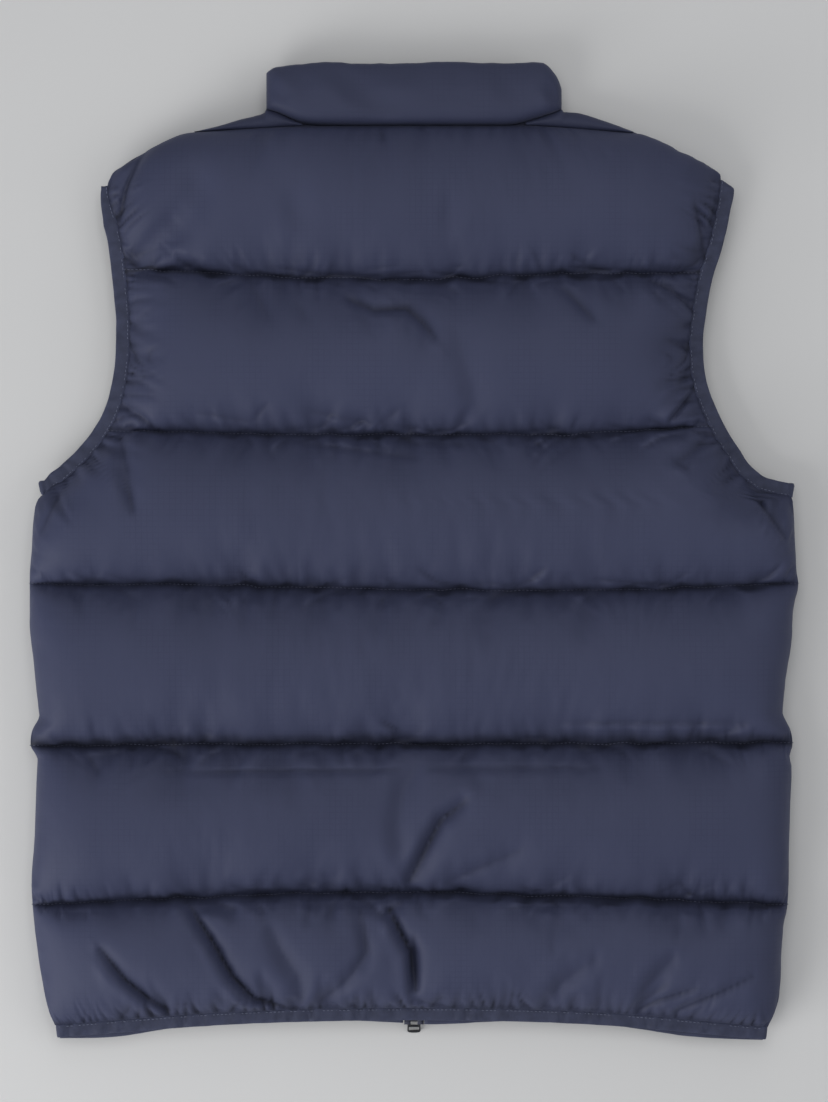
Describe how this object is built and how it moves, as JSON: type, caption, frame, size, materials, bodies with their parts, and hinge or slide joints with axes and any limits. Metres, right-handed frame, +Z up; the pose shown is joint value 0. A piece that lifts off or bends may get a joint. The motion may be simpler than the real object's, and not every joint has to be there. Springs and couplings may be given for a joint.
{
  "type": "quilted vest",
  "caption": "Sleeveless padded vest with wide quilted channels, a stand collar, knitted bindings and a closed front zip, laid flat with its back up.",
  "frame": {"origin": "on the surface that the vest lies on, under the middle of its footprint", "axes": "+X to the right across the back, +Y from the hem to the collar, +Z up, out of the back"},
  "size_m": [0.585, 0.7448, 0.0481],
  "materials": {
    "shell": "navy woven nylon with a faint grid in the weave and a soft sheen, over padding",
    "binding": "matt knitted stretch binding",
    "zip_tape": "woven zip tape",
    "zip_teeth": "moulded teeth",
    "slider_metal": "dark gunmetal, satin"
  },
  "bodies": {
    "vest": {"back_panel": "shell", "front_left": "shell", "front_right": "shell", "collar": "shell", "armhole_binding_left": "binding", "armhole_binding_right": "binding", "hem_binding": "binding", "zip_tape_left": "zip_tape", "zip_tape_right": "zip_tape", "zip_chain": "zip_teeth", "zip_slider_bottom": "slider_metal", "zip_slider_top": "slider_metal"},
    "pull_bottom": {"zip_pull_bottom": "slider_metal"},
    "pull_top": {"zip_pull_top": "slider_metal"}
  },
  "joints": [
    {"name": "pull_bottom_swing", "type": "hinge", "parent": "vest", "child": "pull_bottom", "pos_m": [0, -0.3466, 0.01175], "axis": [1, 0, 0], "range_deg": [0, 130]},
    {"name": "pull_top_swing", "type": "hinge", "parent": "vest", "child": "pull_top", "pos_m": [0, 0.3102, 0.01175], "axis": [1, 0, 0], "range_deg": [0, 130]}
  ]
}
